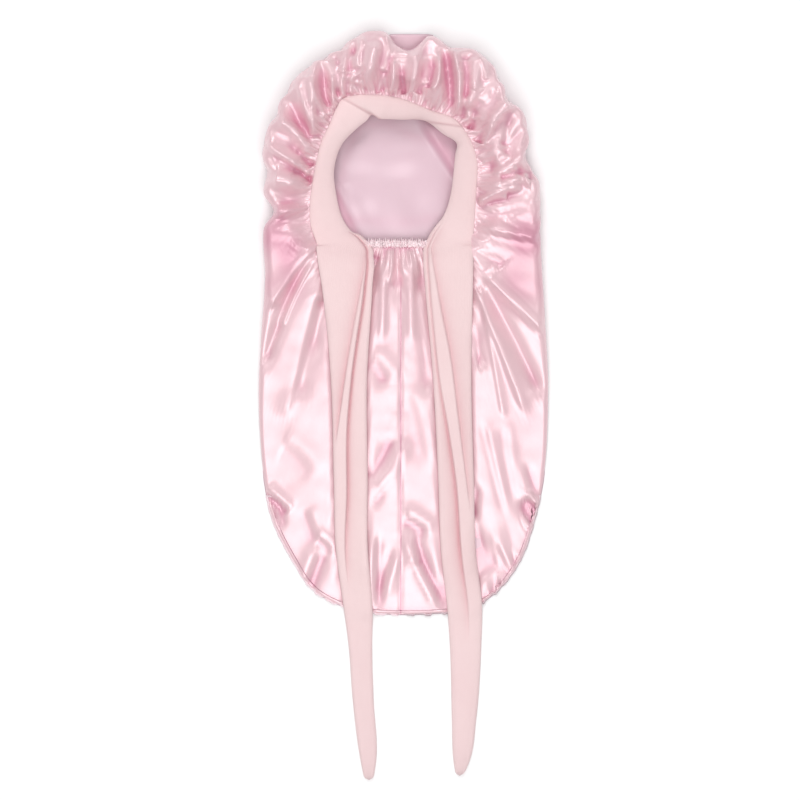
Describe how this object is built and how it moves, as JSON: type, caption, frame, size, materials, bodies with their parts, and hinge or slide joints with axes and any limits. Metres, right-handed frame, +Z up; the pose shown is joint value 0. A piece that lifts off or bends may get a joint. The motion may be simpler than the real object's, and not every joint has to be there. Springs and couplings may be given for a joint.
{
  "type": "satin bonnet with tie band",
  "caption": "Long satin braid bonnet lying flat: gathered bag with a puffed crown, round face opening, knit band that runs on as long ties, and a frilled elastic nape.",
  "frame": {"origin": "centre of the bounding box in X and Y, on the floor that the bonnet lies on", "axes": "+Y from the ties' tips towards the crown, +X to the right as seen from above, +Z up through the face opening"},
  "size_m": [0.3352, 0.8636, 0.0564],
  "materials": {
    "satin": "pale pink satin with soft highlights",
    "knit": "matte warm pale pink jersey"
  },
  "bodies": {
    "root": {"back_panel": "satin", "front_panel": "satin", "edge_seam": "satin", "nape_elastic": "satin", "headband": "knit", "tie_left": "knit", "tie_right": "knit"}
  },
  "joints": []
}
